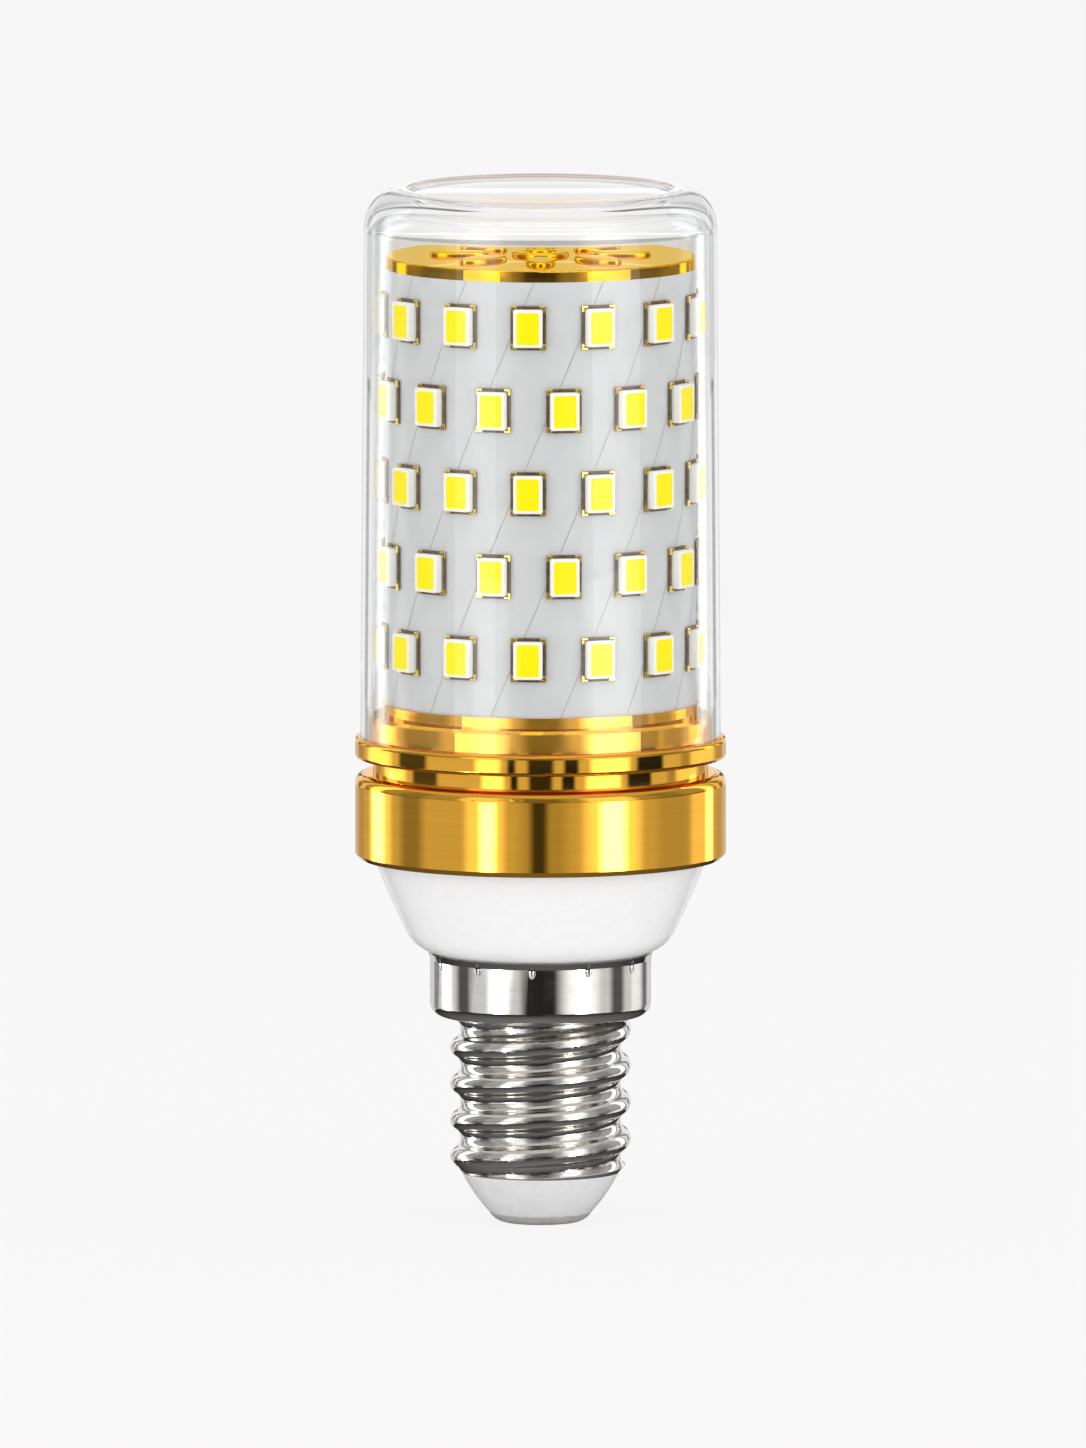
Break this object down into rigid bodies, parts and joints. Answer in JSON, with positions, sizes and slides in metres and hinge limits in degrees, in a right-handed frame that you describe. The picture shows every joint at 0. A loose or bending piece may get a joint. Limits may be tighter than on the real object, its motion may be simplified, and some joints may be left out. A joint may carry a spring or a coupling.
{
  "type": "led light bulb",
  "caption": "LED light bulb: clear plastic cover over a rolled white board with rows of LEDs, gold base ring, white conical housing and a nickel-plated 14 mm screw cap.",
  "frame": {"origin": "middle of the centre contact's flat face, at the bulb's lower end", "axes": "+Z along the bulb's axis from the contact to the cover's top, -Y towards the side that the picture shows"},
  "size_m": [0.0286, 0.0286, 0.08],
  "materials": {
    "contact_metal": "tinned contact, slightly dull",
    "insulator_white": "white moulded insulator",
    "cap_nickel": "bright nickel plate",
    "housing_white": "glossy white moulding",
    "gold": "polished gold-coloured metal",
    "board_white": "white solder mask on an aluminium board",
    "led_lead": "gold-plated lead frame",
    "led_white": "white moulded LED body",
    "led_phosphor": "yellow phosphor in clear resin",
    "cover_clear": "clear moulded plastic",
    "driver_green": "green solder mask on glass fibre board",
    "capacitor_sleeve": "shrunk black sleeve",
    "ferrite": "sintered ferrite",
    "copper": "enamelled copper winding",
    "film_case": "moulded capacitor case",
    "resistor_coat": "lacquered resistor body",
    "chip_black": "black moulding compound",
    "chip_ceramic": "chip resistor",
    "wire_brown": "wire insulation",
    "wire_blue": "wire insulation",
    "wire_white": "wire insulation"
  },
  "bodies": {
    "root": {"centre_contact": "contact_metal", "cap_insulator": "insulator_white", "cap_shell": "cap_nickel", "lower_housing": "housing_white", "base_ring": "gold", "led_board": "board_white", "led_lead_frames": "led_lead", "led_bodies": "led_white", "led_phosphors": "led_phosphor", "top_disc": "gold", "clear_cover": "cover_clear", "driver_board": "driver_green", "smoothing_capacitor": "capacitor_sleeve", "choke_core": "ferrite", "choke_winding": "copper", "film_capacitor": "film_case", "fuse_resistor": "resistor_coat", "bridge_rectifier": "chip_black", "driver_chip": "chip_black", "chip_resistors": "chip_ceramic", "live_wire": "wire_brown", "neutral_wire": "wire_blue", "led_supply_wires": "wire_white"}
  },
  "joints": []
}
